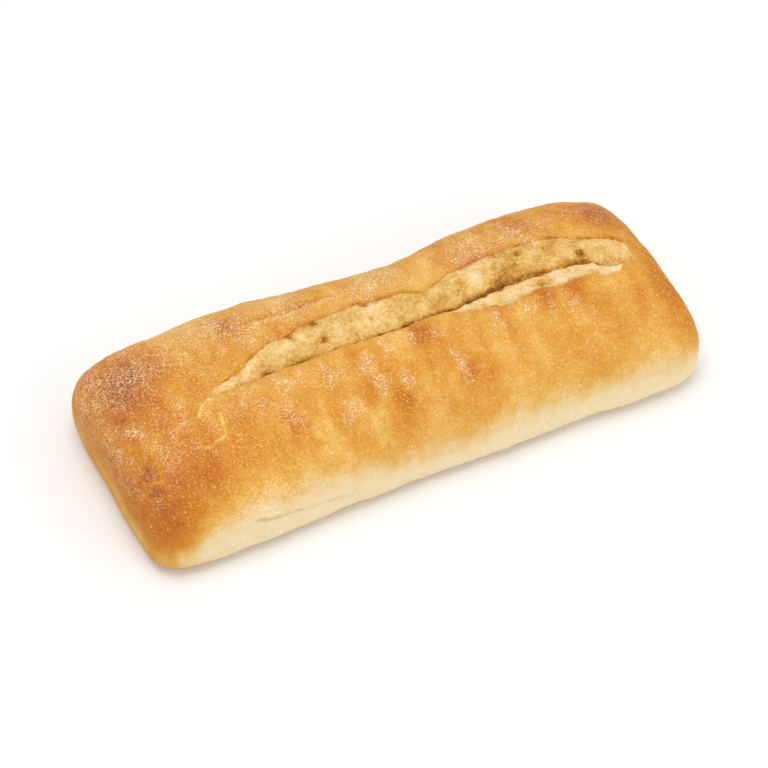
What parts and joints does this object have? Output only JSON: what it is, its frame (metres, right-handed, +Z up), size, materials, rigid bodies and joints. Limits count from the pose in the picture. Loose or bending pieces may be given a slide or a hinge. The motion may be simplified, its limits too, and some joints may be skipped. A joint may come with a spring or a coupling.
{
  "type": "ciabatta loaf",
  "caption": "Long flat-based wheat loaf with a domed golden crust, a slightly waisted plan and a lengthwise slash opened to pale crumb, a food prop for tables, shelves and baskets.",
  "frame": {"origin": "on the base, under the middle of the loaf", "axes": "+X along the loaf's length to its right end as seen from the front, +Y to the back, +Z up"},
  "size_m": [0.2756, 0.1136, 0.054],
  "materials": {
    "crust": "dry baked crust, golden brown and matte, with a light dust of flour"
  },
  "bodies": {
    "root": {"loaf": "crust"}
  },
  "joints": []
}
